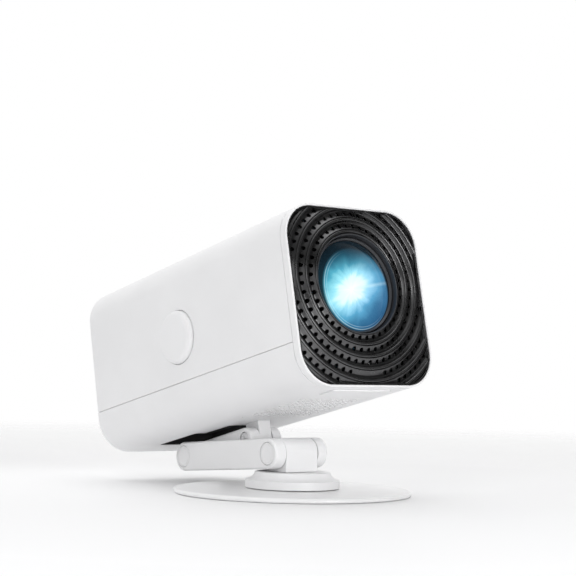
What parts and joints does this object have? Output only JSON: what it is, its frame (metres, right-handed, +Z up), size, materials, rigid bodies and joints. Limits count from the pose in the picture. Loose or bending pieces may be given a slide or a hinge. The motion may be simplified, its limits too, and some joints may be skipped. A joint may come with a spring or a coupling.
{
  "type": "home projector",
  "caption": "Rounded-square tube projector with a ringed black front round a large lens, on a Z-folding arm and a round swivel base.",
  "frame": {"origin": "centre of the base's underside, on the surface it stands on", "axes": "+Z up, -Y the way the lens looks, +X across to the side without the power button"},
  "size_m": [0.1434, 0.2352, 0.1711],
  "materials": {
    "white_shell": "satin, very fine moulded grain",
    "white_stand": "satin",
    "base_plate": "satin white paint",
    "black_grille": "satin black, rings of small holes",
    "black_inner": "matt black",
    "rubber": "matt",
    "steel": "plain",
    "aluminium": "extruded",
    "lens_glass": "blue anti-reflection coating",
    "optic_glass": "clear",
    "board": "green solder mask",
    "led": "LED board with its emitter"
  },
  "bodies": {
    "base": {"rubber_foot": "rubber", "base_disc": "base_plate", "swivel_washer": "black_inner"},
    "swivel": {"pedestal": "white_stand", "hinge_post": "white_stand", "swivel_screw": "steel", "hinge_a_pin": "steel"},
    "lower_arm": {"lower_arm": "white_stand", "hinge_a_cap_left": "white_stand", "hinge_a_cap_right": "white_stand", "hinge_b_cap_left": "white_stand", "hinge_b_cap_right": "white_stand", "hinge_b_pin": "steel"},
    "upper_arm": {"upper_arm": "white_stand", "hinge_c_screw": "steel", "hinge_c_nut": "steel"},
    "focus": {"lens_barrel": "black_inner", "front_lens": "lens_glass", "rear_lens": "optic_glass"},
    "focus_drive": {"focus_screw": "steel"},
    "fan": {"fan_impeller": "black_inner"},
    "power_button": {"side_button": "white_shell"},
    "head": {"upper_shell": "white_shell", "lower_shell": "white_shell", "front_bezel": "white_shell", "rear_cover": "white_shell", "speaker_grille": "white_shell", "front_foot": "white_shell", "mount_lug": "white_stand", "front_grille": "black_grille", "lens_hood": "black_inner", "lens_holder": "black_inner", "light_engine": "black_inner", "fan_frame": "black_inner", "stand_pocket": "black_inner", "ir_window": "black_inner", "audio_jack": "black_inner", "dc_inlet": "black_inner", "button_switch": "black_inner", "speaker": "black_inner", "lug_screw_left": "steel", "lug_screw_right": "steel", "rear_screw_1": "steel", "rear_screw_2": "steel", "rear_screw_3": "steel", "rear_screw_4": "steel", "focus_motor": "steel", "button_spring": "steel", "driver_coil": "steel", "hdmi_socket": "steel", "usb_socket": "steel", "heat_sink": "aluminium", "fresnel_front": "optic_glass", "lcd_panel": "optic_glass", "fresnel_rear": "optic_glass", "condenser_lens": "optic_glass", "main_board": "board", "led_driver_board": "board", "button_board": "board", "led_module": "led"}
  },
  "joints": [
    {"name": "base_swivel", "type": "hinge", "parent": "base", "child": "swivel", "pos_m": [0, 0, 0.005], "axis": [0, 0, 1], "continuous": true},
    {"name": "lower_arm_fold", "type": "hinge", "parent": "swivel", "child": "lower_arm", "pos_m": [0, 0, 0.0245], "axis": [1, 0, 0], "range_deg": [0, 45]},
    {"name": "upper_arm_fold", "type": "hinge", "parent": "lower_arm", "child": "upper_arm", "pos_m": [0, 0.0884, 0.01781], "axis": [-1, 0, 0], "range_deg": [-4, 95]},
    {"name": "head_tilt", "type": "hinge", "parent": "upper_arm", "child": "head", "pos_m": [0, 0.03371, 0.0312], "axis": [1, 0, 0], "range_deg": [-4, 22]},
    {"name": "power_button_press", "type": "slide", "parent": "head", "child": "power_button", "axis": [1, 0, 0], "range_m": [0, 0.0012], "stiffness_N_per_m": 1200, "springref_m": -0.0004, "deforming": ["button_spring"]},
    {"name": "lens_focus", "type": "slide", "parent": "head", "child": "focus", "axis": [0, -0.9749, 0.2226], "range_m": [-0.002, 0.002]},
    {"name": "focus_screw_spin", "type": "hinge", "parent": "head", "child": "focus_drive", "pos_m": [0.034, -0.04955, 0.0978], "axis": [0, -0.9749, 0.2226], "range_deg": [-366, 366]},
    {"name": "fan_spin", "type": "hinge", "parent": "head", "child": "fan", "pos_m": [0, 0.09356, 0.09118], "axis": [0, 0.9749, -0.2226], "continuous": true}
  ],
  "couplings": [
    {"joint": "focus_screw_spin", "follows": "lens_focus", "rad_per_m": -3141.6}
  ]
}
